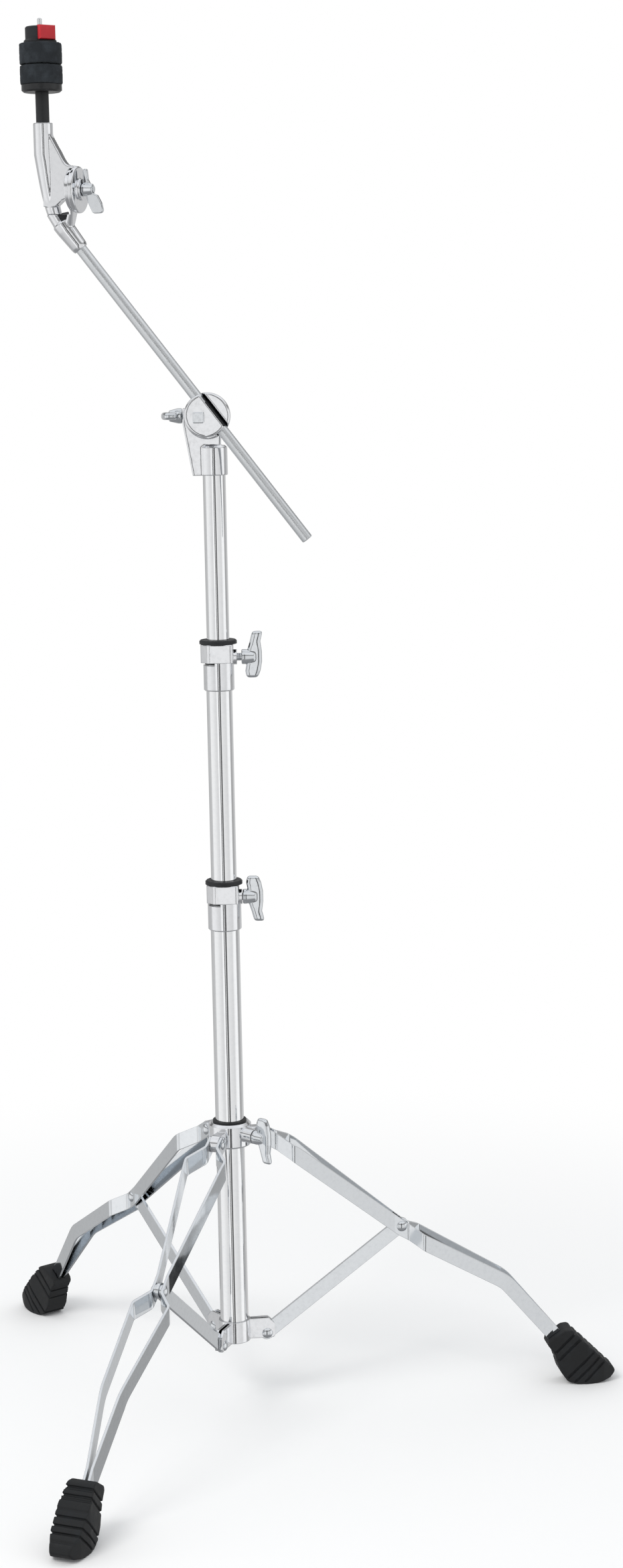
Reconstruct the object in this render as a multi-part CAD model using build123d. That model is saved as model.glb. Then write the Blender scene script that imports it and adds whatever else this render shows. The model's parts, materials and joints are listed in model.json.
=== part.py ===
from build123d import *
import os
from math import atan2, cos, degrees, hypot, radians, sin, tan

# Cymbal boom stand, in millimetres. The origin is on the floor under the post, +Z is up,
# the boom leans towards -X and -Y is the front.

# ---------------------------------------------------------------- driving dimensions
# Telescoping tubes
base_od = 28.6
middle_od = 25.4
upper_od = 22.2
tube_wall = 1.2
base_bottom_z = 70.0
base_length = 453.5
middle_extension = 189.5       # middle tube showing between the two tube joints
upper_extension = 160.0        # upper tube showing between its joint and the boom holder
tube_overlap = 150.0           # length of a tube inside the one below it
guide_flange = 4.0
guide_spigot = 14.0

# Tube joints
joint_seat = 26.0              # depth of the tube inside the joint's neck
joint_neck_wall = 2.3
joint_neck_rise = 2.0          # from the lower tube's end up to the clamp block
joint_block_height = 18.0
joint_block_half = 17.2
joint_block_right = 14.5
joint_boss_radius = 7.4
joint_boss_length = 3.5
joint_boss_drop = 4.4          # of the T bolt's axis below the middle of the block
bush_wall = 2.2
bush_flange_radius = 18.4
bush_flange_height = 4.0
relief_slit_height = 2.8

# T bolts and rivets
t_bolt_radius = 4.0
t_upper_lobe = 21.5             # tips of the wing from the bolt's axis
t_lower_lobe = 26.0
t_wing_depth = 14.5
t_wing_thickness = 7.0
t_stem_radius = 7.4
t_stem_length = 7.5
rivet_radius = 3.0
rivet_head_radius = 5.4
rivet_head_height = 2.4

# Tripod
leg_azimuths = {"right": 7.96, "rear": 127.96, "front": 247.96}
pivot_radius = 33.0            # of the upper and lower hinge pins, from the post's axis
lower_pivot_z = 75.0
link_reach = 140.5             # from the hinge pins out to the brace pin
link_rise = 105.0              # the brace pin stands midway between the hinge pins
bar_height = 15.0
bar_thickness = 2.5
brace_thickness = 3.0
lug_thickness = 9.0
pinch_gap = 7.9                # between a leg's two bars where the brace is pinned
wide_half = 21.0               # half the spread of the bars at the top
second_wide_half = 18.8        # half the spread of the bars below the brace
knee_half = 10.6
ankle_half = 2.6
bar_bend_radius = 4.0
knee_bend_radius = 40.0
jog_start_radius = 46.5
jog_reach = 31.3               # from the leg pin to the end of the first jog
jog_drop = 18.5
pinch_length = 15.0
second_jog_reach = 22.5        # these reaches are from the brace pin
second_jog_drop = 15.8
knee_reach = 106.4
knee_height = 115.1            # these heights are from the floor
ankle_reach = 157.6
ankle_height = 53.7
toe_reach = 169.5
toe_height = 39.4
brace_pin_above_bar = 2.6

# Collars
ring_wall = 1.7
lower_ring_height = 22.0
lower_ear_thickness = 2.5
lower_ear_height = 20.5
lower_ear_end = 8.0
collar_height = 24.0
collar_rise = 3.0              # of the collar's middle above the leg pins
collar_outer_radius = 21.5
collar_bush_wall = 2.4
collar_bush_lip = 2.0
lug_height = 17.0
collar_bolt_azimuth = 318.0
collar_boss_length = 13.0
collar_bolt_rise = 4.5

# Feet
foot_width = 33.0
foot_groove = 2.2
foot_rounding = 3.0

# Boom tilter
boom_od = 11.1
boom_length = 366.0
boom_elevation = 53.08
boom_offset = 25.0             # of the boom's plane in front of the post's axis
boom_cross_height = 33.0       # rod's crossing above the upper tube's end, seen from the front
boom_lower_reach = 149.0       # rod's lower end from that crossing
holder_seat = 24.0
holder_wall = 2.3
holder_height = 29.0
holder_fin_bottom_x = -20.5
holder_fin_top_x = -29.0
holder_web_half = 8.0
barrel_radius = 15.0
barrel_length = 26.0
boss_radius = 7.4
boom_bolt_y = 2.4                # the tilt bolt stands back, so that its wing clears the rod
disc_radius = 22.3
disc_thickness = 8.0
disc_offset_x = -4.5
disc_offset_z = 0.6
disc_front = 1.0               # front face of the tilt disc behind the rod's axis
lip_height = 6.0
lip_offset = 7.8               # of the disc's raised lip from the rod's axis
hub_radius = 9.0
liner_wall = 1.3
liner_length = 29.0
jaw_front = 12.0
jaw_edge = 3.4                 # of the jaw's edge beyond the rod's axis
jaw_bolt_offset = 10.4
jaw_bolt_along = 7.0
jaw_bolt_radius = 3.0
jaw_head_width = 10.5
jaw_head_height = 5.5

# Cymbal tilter
neck_lead = 36.5378            # from the boom rod's upper end to its line's crossing with the neck
pivot_turn = -18.0             # azimuth of the tilter's hinge axis
drum_radius = 21.8
plate_thickness = 4.6
drum_distance = 31.5           # from the neck's axis to the joint between the two plates
pivot_height = 11.3            # of the hinge axis above the crossing of neck and boom axes
neck_radius = 9.3
neck_height = 62.6             # top of the neck above the hinge axis
arm_end_radius = 6.6
web_thickness = 11.0
socket_seat = 17.4             # depth of the boom rod inside the socket
socket_radius = 9.2
socket_neck_radius = 7.2
socket_length = 31.0
elbow_radius = 7.4
plug_width = 11.5
plug_depth = 13.0
plug_height = 15.0
plug_offset = 15.7             # from the neck's axis
plug_drop = 25.5               # below the hinge axis
tilter_bolt_radius = 3.0
bolt_head_radius = 6.5
bolt_head_height = 3.0

# Cymbal seat
sleeve_radius = 6.3
sleeve_length = 28.2
hang_radius = 5.2              # of the sleeve where the cymbal hangs on it
rod_radius = 3.9
rod_tip_radius = 2.2
rod_tip_length = 8.0
seat_radius = 19.0
seat_height = 6.8
lower_felt_height = 18.0
upper_felt_height = 19.9
felt_radius = 20.2
felt_hole_clearance = 0.3
mate_radius = 13.9
mate_flange_radius = 15.4
mate_height = 14.5
button_azimuth = -55.0           # the way the push button faces
button_width = 17.0
button_height = 13.0
button_travel = 2.5

# Named clearances
running_fit = 0.06             # radial, between a pin or screw and what turns on it
slide_fit = 0.08               # radial, between a tube and its nylon bush
face_gap = 0.1                 # between faces that turn against each other
seat_gap = 0.3                 # between soft or unlike parts that rest on each other

# ---------------------------------------------------------------- derived sizes
base_top_z = base_bottom_z + base_length
joint_height = joint_seat + joint_neck_rise + joint_block_height + bush_flange_height
first_joint_z = base_top_z - joint_seat
first_joint_top = first_joint_z + joint_height
second_joint_z = first_joint_top + middle_extension
middle_top_z = second_joint_z + joint_seat
middle_bottom_z = base_top_z - tube_overlap
second_joint_top = second_joint_z + joint_height
holder_z = second_joint_top + upper_extension
upper_top_z = holder_z + holder_seat
upper_bottom_z = middle_top_z - tube_overlap
cross_z = upper_top_z + boom_cross_height

upper_pivot_z = lower_pivot_z + 2 * link_rise
brace_pin = (pivot_radius + link_reach, lower_pivot_z + link_rise)
jog_end = (pivot_radius + jog_reach, upper_pivot_z - jog_drop)
second_jog_end = (brace_pin[0] + second_jog_reach, brace_pin[1] - second_jog_drop)
knee = (brace_pin[0] + knee_reach, knee_height)
ankle = (brace_pin[0] + ankle_reach, ankle_height)
toe_end = (brace_pin[0] + toe_reach, toe_height)
brace_length = hypot(link_reach, link_rise)
brace_slope = degrees(atan2(link_rise, link_reach))
bar_half = lug_thickness / 2 + face_gap + bar_thickness / 2
pinch_half = pinch_gap / 2 + bar_thickness / 2

slope = radians(boom_elevation)
boom_up = Vector(-cos(slope), 0, sin(slope))
boom_cross = Vector(0, -boom_offset, cross_z)
rod_side = Vector(sin(slope), 0, cos(slope))
boom_low_end = boom_cross - boom_up * boom_lower_reach
boom_high_end = boom_low_end + boom_up * boom_length
neck_x = boom_high_end.X - neck_lead * cos(slope)


def save(name, shape):
    export_step(shape, "parts/" + name + ".step")


def ring(outer, inner, height, bottom=0.0):
    """A plain ring that stands on z = bottom."""
    body = Cylinder(outer, height) - Cylinder(inner, height)
    return Pos(0, 0, bottom + height / 2) * body


def turned(points):
    """A solid of revolution about Z from (radius, height) points."""
    outline = [(radius, 0, height) for radius, height in points]
    face = make_face(Polyline(*outline, close=True))
    return revolve(face, Axis.Z)


def across(shape, azimuth):
    return Rot(0, 0, azimuth) * shape


def rod_between(start, end, radius):
    """A round bar from one point to another."""
    direction = Vector(*end) - Vector(*start)
    return Plane(origin=start, z_dir=direction) * extrude(Circle(radius), direction.length)


def group(shapes):
    return Compound(children=list(shapes))


# ---------------------------------------------------------------- fasteners
def t_bolt(shank_length):
    """A T-shaped hand bolt along +X, with the root of its stem at the origin."""
    shank = Rot(0, -90, 0) * extrude(Circle(t_bolt_radius), shank_length)
    stem = turned([
        (0, 0), (t_stem_radius, 0), (t_stem_radius, t_stem_length * 0.45),
        (t_stem_radius * 0.72, t_stem_length + t_wing_depth * 0.35),
        (0, t_stem_length + t_wing_depth * 0.35)])
    stem = Rot(0, 90, 0) * stem
    root = t_stem_length - 2.0
    crown = root + t_wing_depth
    upper = t_upper_lobe
    lower = -t_lower_lobe
    outline = Polyline(
        (root - 1.0, 0, 6.0), (root - 2.5, 0, upper - 7.0), (root - 1.0, 0, upper),
        (root + 10.0, 0, upper), (crown - 2.5, 0, upper * 0.6), (crown - 0.5, 0, 2.0),
        (crown, 0, -6.0), (crown - 2.0, 0, lower * 0.6), (crown + 1.0, 0, lower),
        (root + 6.5, 0, lower), (root + 3.5, 0, lower * 0.55), (root, 0, -6.0), close=True)
    wing = extrude(make_face(outline), t_wing_thickness / 2, both=True)
    tips = wing.edges().filter_by(Axis.Y).filter_by(
        lambda e: e.center().Z > upper - 0.5 or e.center().Z < lower + 0.5)
    wing = fillet(tips, 3.4)
    bends = wing.edges().filter_by(Axis.Y).filter_by(lambda e: abs(e.center().Z) < t_upper_lobe * 0.75)
    wing = fillet(bends, 2.5)
    wing = fillet(wing.faces().filter_by(Axis.Y).edges(), 1.2)
    return shank + stem + wing


def wing_nut(bore):
    """A small wing nut along +X, its seat at the origin: one wing lies back, the other leans out."""
    hub = Rot(0, 90, 0) * turned([(0, 0), (6.2, 0), (6.2, 2.5), (5.0, 9.6), (4.2, 10.2), (0, 10.2)])
    back_wing = make_face(Polyline(
        (0.6, 0, 3), (0.6, 0, 19), (4.6, 0, 19), (5.6, 0, 9), (8.5, 0, 3), close=True))
    out_wing = make_face(Polyline(
        (2.5, 0, -3), (4.7, 0, -12), (9.5, 0, -22.5), (20.5, 0, -22.5), (18.5, 0, -13),
        (14.5, 0, -5.5), (8.5, 0, -3), close=True))
    nut = hub
    for face, rounding in ((back_wing, 1.8), (out_wing, 3.2)):
        wing = extrude(face, 2.2, both=True)
        tips = wing.edges().filter_by(Axis.Y).filter_by(lambda e: abs(e.center().Z) > 18)
        wing = fillet(tips, rounding)
        nut += fillet(wing.faces().filter_by(Axis.Y).edges(), 0.9)
    return nut - Rot(0, 90, 0) * Cylinder(bore, 60)


def rivet(grip):
    """A rivet along Y, centred on the origin, with a domed head at each end."""
    half = grip / 2
    dome_radius = (rivet_head_radius ** 2 + rivet_head_height ** 2) / (2 * rivet_head_height)
    dome = Pos(0, 0, half + rivet_head_height - dome_radius) * Sphere(dome_radius)
    head = dome & Pos(0, 0, half + rivet_head_height / 2) * Cylinder(rivet_head_radius + 1, rivet_head_height)
    body = Cylinder(rivet_radius, grip) + head + Rot(180, 0, 0) * head
    return Rot(90, 0, 0) * body


# ---------------------------------------------------------------- post
def tube(outer, bottom, top):
    return ring(outer / 2, outer / 2 - tube_wall, top - bottom, bottom)


def tube_guide(outer_tube, inner_tube):
    """The nylon plug under a sliding tube: it slides in the tube below and the tube turns on it."""
    bore = inner_tube / 2 - tube_wall
    slide = outer_tube / 2 - tube_wall - slide_fit
    plug = Pos(0, 0, guide_flange / 2) * Cylinder(slide, guide_flange)
    spigot = Pos(0, 0, guide_flange + guide_spigot / 2) * Cylinder(bore - slide_fit, guide_spigot)
    hollow = Pos(0, 0, (guide_flange + guide_spigot) / 2) * Cylinder(bore * 0.6, guide_flange + guide_spigot)
    return plug + spigot - hollow


def tube_joint(lower_tube, upper_tube):
    """The cast clamp on top of a tube, from its neck at z = 0."""
    neck_radius_out = lower_tube / 2 + joint_neck_wall
    bush_radius = upper_tube / 2 + slide_fit + bush_wall
    block_top = joint_seat + joint_neck_rise + joint_block_height
    neck = turned([(0, 0), (neck_radius_out - 1.0, 0), (neck_radius_out, 1.0),
                   (neck_radius_out, joint_seat + joint_neck_rise), (0, joint_seat + joint_neck_rise)])
    plan = make_face(Polyline(
        (joint_block_right, -joint_block_half), (joint_block_right, joint_block_half),
        (-joint_block_half * 0.55, joint_block_half), (-joint_block_half, joint_block_half * 0.5),
        (-joint_block_half, -joint_block_half * 0.5), (-joint_block_half * 0.55, -joint_block_half),
        close=True))
    plan = fillet(plan.vertices(), 2.5)
    block = Pos(0, 0, joint_seat + joint_neck_rise) * extrude(plan, joint_block_height)
    block = chamfer(block.faces().sort_by(Axis.Z)[-1].edges(), 0.8)
    boss_z = joint_seat + joint_neck_rise + joint_block_height / 2 - joint_boss_drop
    boss = Pos(joint_block_right - 1, 0, boss_z) * Rot(0, 90, 0) * Cylinder(
        joint_boss_radius, joint_boss_length + 1, align=(Align.CENTER, Align.CENTER, Align.MIN))
    body = neck + block + boss
    body -= Pos(0, 0, joint_seat / 2) * Cylinder(lower_tube / 2, joint_seat)
    body -= Pos(0, 0, (joint_seat + block_top) / 2) * Cylinder(bush_radius, block_top - joint_seat)
    slit = Pos(-joint_block_half, 0, joint_seat + joint_neck_rise - relief_slit_height / 2) * Box(
        joint_block_half * 1.6, joint_block_half * 3, relief_slit_height)
    body -= slit
    body -= Pos(joint_block_right, 0, boss_z) * Rot(0, 90, 0) * Cylinder(t_bolt_radius + running_fit, 40,
        align=(Align.CENTER, Align.CENTER, Align.CENTER))
    return body


def joint_bush(lower_tube, upper_tube):
    """The black nylon sleeve in a tube joint, seated on the lower tube's end."""
    inner = upper_tube / 2 + slide_fit
    block_top = joint_seat + joint_neck_rise + joint_block_height
    sleeve = ring(inner + bush_wall, inner, block_top - joint_seat, joint_seat)
    flange = ring(bush_flange_radius, inner, bush_flange_height, block_top)
    flange = chamfer(flange.edges().group_by(Axis.Z)[-1].sort_by(SortBy.RADIUS)[-1], 1.2)
    return sleeve + flange


def joint_bolt(upper_tube, stand_off, turn):
    """The T bolt of a tube joint, from its tip at the bush."""
    tip = upper_tube / 2 + slide_fit + bush_wall + seat_gap + 0.3
    root = joint_block_right + joint_boss_length + stand_off
    boss_z = joint_seat + joint_neck_rise + joint_block_height / 2 - joint_boss_drop
    return Pos(root, 0, boss_z) * Rot(turn, 0, 0) * t_bolt(root - tip)


# ---------------------------------------------------------------- tripod
def leg_side_face():
    """Outline of a leg bar seen from its side, in the leg's own XZ plane."""
    pin = Vector(pivot_radius, 0, upper_pivot_z)
    bar_at_pin = (brace_pin[0], 0, brace_pin[1] - brace_pin_above_bar)
    middle = FilletPolyline(
        (pin.X, 0, pin.Z), (jog_end[0], 0, jog_end[1]), bar_at_pin, (second_jog_end[0], 0, second_jog_end[1]),
        (knee[0], 0, knee[1]), (toe_end[0], 0, toe_end[1]), radius=knee_bend_radius)
    band = trace(Plane.XZ.to_local_coords(middle), bar_height)
    band += Pos(pin.X, pin.Z) * Circle(bar_height / 2)
    return band


def bar_plan_line(side):
    """Path of a leg bar seen from above, side = 1 or -1."""
    jog = wide_half - bar_half
    points = [
        (pivot_radius - bar_height, side * bar_half), (jog_start_radius, side * bar_half),
        (jog_start_radius + jog, side * wide_half),
        (brace_pin[0] - pinch_length / 2, side * pinch_half),
        (brace_pin[0] + pinch_length / 2, side * pinch_half),
        (brace_pin[0] + pinch_length / 2 + (second_wide_half - pinch_half), side * second_wide_half),
        (knee[0], side * knee_half), (ankle[0], side * ankle_half),
        (toe_end[0] + bar_height, side * ankle_half)]
    return FilletPolyline(*points, radius=bar_bend_radius)


def leg_bar(side):
    """One flat steel bar of a leg, bent sideways and at the knee."""
    outline = Plane.XZ * extrude(leg_side_face(), wide_half * 2, both=True)
    ribbon = extrude(trace(bar_plan_line(side), bar_thickness), upper_pivot_z + 40)
    bar = outline & ribbon
    bar -= Pos(pivot_radius, 0, upper_pivot_z) * Rot(90, 0, 0) * Cylinder(rivet_radius + running_fit, 80)
    bar -= Pos(brace_pin[0], 0, brace_pin[1]) * Rot(90, 0, 0) * Cylinder(rivet_radius, 80)
    return bar


def brace_bar():
    """The flat brace, from its lower pin to the leg."""
    plan = SlotCenterToCenter(brace_length, bar_height)
    bar = extrude(plan, brace_thickness / 2, both=True)
    for end in (-1, 1):
        bar -= Pos(end * brace_length / 2, 0, 0) * Cylinder(rivet_radius + running_fit, 20)
    bar = Rot(0, -brace_slope, 0) * Rot(90, 0, 0) * bar
    return Pos(pivot_radius + link_reach / 2, 0, lower_pivot_z + link_rise / 2) * bar


def brace_spacers():
    """The two washers that centre the brace between the leg bars."""
    thickness = pinch_gap / 2 - brace_thickness / 2 - face_gap
    washers = []
    for side in (-1, 1):
        middle = side * (pinch_gap / 2 - thickness / 2)
        washers.append(Pos(brace_pin[0], middle, brace_pin[1]) * Rot(90, 0, 0) * (
            Cylinder(6.0, thickness) - Cylinder(rivet_radius, thickness)))
    return group(washers)


def foot():
    """The rubber boot on the ends of a leg's two bars. Its distances are from the bars' ends."""
    outline = make_face(Polyline(
        (-17.5, 47.5), (-18.5, 42.5), (-12.0, 34.5), (-5.5, 14.0), (1.5, 3.5), (12.0, 0.0), (33.0, 0.0),
        (47.5, 4.0), (53.5, 10.5), (50.5, 15.5), (41.5, 23.5), (7.0, 58.5), (-0.5, 58.5), close=True))
    outline = fillet(outline.vertices(), foot_rounding)
    body = Plane.XZ * extrude(outline, foot_width / 2, both=True)
    half = foot_width / 2
    plan = make_face(Polyline(
        (-25, -half * 0.66), (2, -half * 0.82), (22, -half), (40, -half * 0.92), (53, -half * 0.62),
        (57, 0), (53, half * 0.62), (40, half * 0.92), (22, half), (2, half * 0.82), (-25, half * 0.66),
        close=True))
    plan = fillet(plan.vertices().filter_by(lambda v: v.X > -3), 5.0)
    body &= extrude(plan, 90)
    for x, z, turn in ((10.5, 53.7, 45), (17.5, 46.6, 45), (24.5, 39.5, 45), (46.5, 18.5, 45)):
        groove = Box(7, foot_width * 1.4, foot_groove)
        body -= Pos(x + 1.8, 0, z + 1.8) * Rot(0, turn - 90, 0) * groove
    return Pos(toe_end[0], 0, 0) * body


def lower_collar():
    """The thin ring at the foot of the post with a pair of ears for each brace."""
    ring_radius = base_od / 2 + ring_wall
    body = ring(ring_radius, base_od / 2, lower_ring_height, base_bottom_z)
    ear_mid = brace_thickness / 2 + face_gap + lower_ear_thickness / 2
    top = base_bottom_z + lower_ring_height - 1.0
    plan = make_face(Polyline(
        (ring_radius - 1.4, top - lower_ear_height), (ring_radius - 1.4, top),
        (pivot_radius + 2, top), (pivot_radius + lower_ear_end, top - 6),
        (pivot_radius + lower_ear_end, lower_pivot_z - 5), (pivot_radius + 3, top - lower_ear_height), close=True))
    plan = fillet(plan.vertices().filter_by(lambda v: v.X > ring_radius + 2), 3.0)
    plate = Plane.XZ * extrude(plan, lower_ear_thickness / 2, both=True)
    plate -= Pos(pivot_radius, 0, lower_pivot_z) * Rot(90, 0, 0) * Cylinder(rivet_radius, 20)
    for azimuth in leg_azimuths.values():
        for side in (-1, 1):
            body += across(Pos(0, side * ear_mid, 0) * plate, azimuth)
    return body - Pos(0, 0, base_bottom_z) * Cylinder(base_od / 2, 200)


def leg_collar():
    """The sliding casting that carries the legs, with one lug for each leg and a boss for the T bolt."""
    bore = base_od / 2 + slide_fit + collar_bush_wall
    middle = upper_pivot_z + collar_rise
    half = collar_height / 2
    body = turned([(0, middle - half), (collar_outer_radius - 1.5, middle - half),
                   (collar_outer_radius, middle - half + 1.5), (collar_outer_radius, middle + half - 2.5),
                   (collar_outer_radius - 2.5, middle + half), (0, middle + half)])
    reach = pivot_radius + lug_height / 2
    lug = SlotOverall(2 * reach, lug_height)
    lug = Plane.XZ * extrude(lug, lug_thickness / 2, both=True)
    lug &= Pos(reach / 2 + 5, 0, 0) * Box(reach + 10, 40, 40)
    lug -= Pos(pivot_radius, 0, 0) * Rot(90, 0, 0) * Cylinder(rivet_radius, 20)
    for azimuth in leg_azimuths.values():
        body += across(Pos(0, 0, upper_pivot_z) * lug, azimuth)
    bolt_z = upper_pivot_z + collar_bolt_rise
    boss = Pos(collar_outer_radius - 4, 0, bolt_z) * Rot(0, 90, 0) * Cylinder(
        joint_boss_radius, collar_boss_length + 4, align=(Align.CENTER, Align.CENTER, Align.MIN))
    body += across(boss, collar_bolt_azimuth)
    body -= Pos(0, 0, middle) * Cylinder(bore, collar_height + 40)
    hole = Pos(collar_outer_radius, 0, bolt_z) * Rot(0, 90, 0) * Cylinder(t_bolt_radius + running_fit, 60)
    return body - across(hole, collar_bolt_azimuth)


def leg_collar_bush():
    inner = base_od / 2 + slide_fit
    bottom = upper_pivot_z + collar_rise - collar_height / 2
    return ring(inner + collar_bush_wall, inner, collar_height + collar_bush_lip, bottom)


def leg_collar_bolt():
    tip = base_od / 2 + slide_fit + collar_bush_wall + seat_gap + 0.3
    root = collar_outer_radius + collar_boss_length + 0.6
    return across(Pos(root, 0, upper_pivot_z + collar_bolt_rise) * t_bolt(root - tip), collar_bolt_azimuth)


# ---------------------------------------------------------------- boom tilter
tilt_centre = Vector(disc_offset_x, 0, cross_z + disc_offset_z)
disc_y = disc_front - boom_offset
disc_back_y = disc_y + disc_thickness
barrel_front_y = disc_back_y + face_gap
barrel_back_y = barrel_front_y + barrel_length
liner_radius = boom_od / 2 + running_fit + liner_wall
holder_radius = upper_od / 2 + holder_wall
jaw_bolt = boom_cross - rod_side * jaw_bolt_offset + boom_up * jaw_bolt_along


def along_rod(radius, length):
    """A cylinder about the boom rod's axis, centred on its crossing with the post."""
    return Plane(origin=tuple(boom_cross), z_dir=tuple(boom_up)) * Cylinder(radius, length)


def along_y(centre, radius, y_front, y_back):
    start = (centre.X, y_front, centre.Z)
    return Plane(origin=start, z_dir=(0, 1, 0)) * extrude(Circle(radius), y_back - y_front)


def beside_rod(edge, depth):
    """A large slab on the upper side of the rod, whose face is edge from the rod's axis."""
    plane = Plane(origin=tuple(boom_cross + rod_side * edge), x_dir=tuple(boom_up), z_dir=tuple(rod_side))
    return plane * extrude(Rectangle(200, 200), depth)


def xz_plate(points, y_front, y_back, rounding=0.0):
    """A plate parallel to the XZ plane, from its outline."""
    face = make_face(Polyline(*points, close=True))
    if rounding:
        face = fillet(face.vertices(), rounding)
    return Pos(0, y_back, 0) * (Plane.XZ * extrude(face, y_back - y_front))


def boom_holder():
    """The casting on the upper tube: a socket, a web with a side fin, and the barrel for the tilt hub."""
    top = holder_z + holder_height
    body = turned([(0, holder_z), (holder_radius - 0.6, holder_z), (holder_radius, holder_z + 0.6),
                   (holder_radius, top - 2.0), (holder_radius - 2.0, top), (0, top)])
    fin = [(holder_fin_bottom_x, holder_z), (-6, holder_z), (-6, top - 6), (7, top - 4), (8, top + 12),
           (-5, tilt_centre.Z), (holder_fin_top_x + 5, tilt_centre.Z + 7), (holder_fin_top_x, tilt_centre.Z + 4),
           (holder_fin_top_x, tilt_centre.Z - 8)]
    body += xz_plate(fin, -holder_web_half, holder_web_half)
    body += along_y(tilt_centre, barrel_radius, barrel_front_y, barrel_back_y)
    boss = Pos(holder_fin_top_x, boom_bolt_y, tilt_centre.Z) * Rot(0, 90, 0) * Cylinder(
        boss_radius, 20, align=(Align.CENTER, Align.CENTER, Align.MIN))
    body += boss
    body -= along_y(tilt_centre, hub_radius + running_fit, -60, 60)
    body -= Pos(0, 0, holder_z + holder_seat / 2) * Cylinder(upper_od / 2, holder_seat)
    hole = Pos(tilt_centre.X - 20, boom_bolt_y, tilt_centre.Z) * Rot(0, 90, 0) * Cylinder(
        t_bolt_radius + running_fit, 40)
    return body - hole


def tilt_disc():
    """The round brake disc behind the rod, with a raised lip and a hub that turns in the barrel."""
    disc = chamfer(along_y(tilt_centre, disc_radius, disc_y, disc_back_y).edges(), 1.0)
    lip = along_y(tilt_centre, disc_radius, disc_y - lip_height, disc_back_y - 2)
    lip = chamfer(lip.edges().filter_by(GeomType.CIRCLE).sort_by(Axis.Y)[0], 1.5)
    body = disc + (lip & beside_rod(lip_offset, 60))
    body += along_y(tilt_centre, hub_radius, disc_back_y, barrel_back_y + 1.6)
    body += along_y(tilt_centre, 4.0, barrel_back_y + 1.6, barrel_back_y + 11.0)
    body -= along_rod(liner_radius + running_fit, 120)
    return body - along_y(jaw_bolt, jaw_bolt_radius, disc_y - 5, disc_y + 6.5)


def tilt_jaw():
    """The hooked jaw that holds the rod against the disc, at the lower left of the rod."""
    x, z = tilt_centre.X, tilt_centre.Z
    outline = [(x - 19, z + 11), (x - 22, z + 1), (x - 19.5, z - 10), (x - 11, z - 16.8), (x + 6, z - 17.2),
               (x + 13, z - 13), (x + 13, z + 4), (x - 6, z + 22), (x - 13, z + 18)]
    body = xz_plate(outline, -boom_offset - jaw_front, disc_y, 2.0)
    front = body.faces().sort_by(Axis.Y)[0]
    body = chamfer(front.edges(), 1.2)
    body -= beside_rod(jaw_edge, 60)
    body -= along_rod(liner_radius + running_fit, 120)
    return body - along_y(jaw_bolt, jaw_bolt_radius, -80, 20)


def tilt_jaw_bolt():
    """The square-headed bolt that draws the jaw against the disc."""
    front_y = -boom_offset - jaw_front
    head = Plane(origin=(jaw_bolt.X, front_y, jaw_bolt.Z), z_dir=(0, -1, 0)) * extrude(
        RectangleRounded(jaw_head_width, jaw_head_width, 1.2), jaw_head_height)
    head = chamfer(head.faces().sort_by(Axis.Y)[0].edges(), 0.8)
    return head + along_y(jaw_bolt, jaw_bolt_radius, front_y, disc_y + 6.0)


def tilt_pivot_nut():
    """The washer and lock nut behind the barrel."""
    front = barrel_back_y + face_gap
    washer_back = front + 1.5
    washer = along_y(tilt_centre, 12.5, front, washer_back)
    flange = along_y(tilt_centre, 10.0, washer_back, washer_back + 1.2)
    nut = Plane(origin=(tilt_centre.X, washer_back, tilt_centre.Z), z_dir=(0, 1, 0)) * extrude(
        RegularPolygon(7.5, 6), 7.0)
    body = washer + flange + nut
    body -= along_y(tilt_centre, hub_radius, front - 5, barrel_back_y + 1.6)
    return body - along_y(tilt_centre, 4.0, front - 5, front + 30)


def boom_liner():
    """The nylon sleeve between the rod and the jaws."""
    return along_rod(liner_radius, liner_length) - along_rod(boom_od / 2 + running_fit, liner_length + 2)


def boom_bolt():
    """The T bolt that locks the tilt: it presses on the hub through the barrel."""
    tip_x = tilt_centre.X - hub_radius - seat_gap
    root_x = holder_fin_top_x - 0.6
    turn = Rot(0, 0, 180) * Rot(-90, 0, 0)
    return Pos(root_x, boom_bolt_y, tilt_centre.Z) * turn * t_bolt(tip_x - root_x)


def boom_rod():
    body = rod_between(tuple(boom_low_end), tuple(boom_high_end), boom_od / 2)
    return chamfer(body.edges(), 0.7)


# ---------------------------------------------------------------- cymbal tilter
elbow_z = cross_z - neck_x * tan(slope)
hinge_z = elbow_z + pivot_height
hinge_turn = radians(pivot_turn)
hinge_axis = Vector(cos(hinge_turn), sin(hinge_turn), 0)
hinge_foot = Vector(neck_x, -boom_offset, hinge_z)
hinge_side = Vector(-sin(hinge_turn), cos(hinge_turn), 0)
drum_plane = Plane(origin=tuple(hinge_foot), x_dir=tuple(hinge_side), z_dir=tuple(hinge_axis))
inner_plate_start = drum_distance - face_gap / 2 - plate_thickness
outer_plate_start = drum_distance + face_gap / 2
cut_radius = drum_radius + 0.7
inner_plate_radius = drum_radius - 2.4
socket_mouth = boom_high_end - boom_up * socket_seat


def drum(radius, start, length):
    """A disc about the tilter's hinge axis, start measured from the neck's axis."""
    return drum_plane * Pos(0, 0, start) * extrude(Circle(radius), length)


def below_hinge(inner, outer):
    """The lower half of a thick sleeve about the hinge axis: what the two castings' arms are cut by."""
    sleeve = drum(outer, -40, 120)
    if inner:
        sleeve -= drum(inner, -41, 122)
    return sleeve & Pos(neck_x, -boom_offset, hinge_z - 60) * Box(300, 300, 120)


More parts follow.
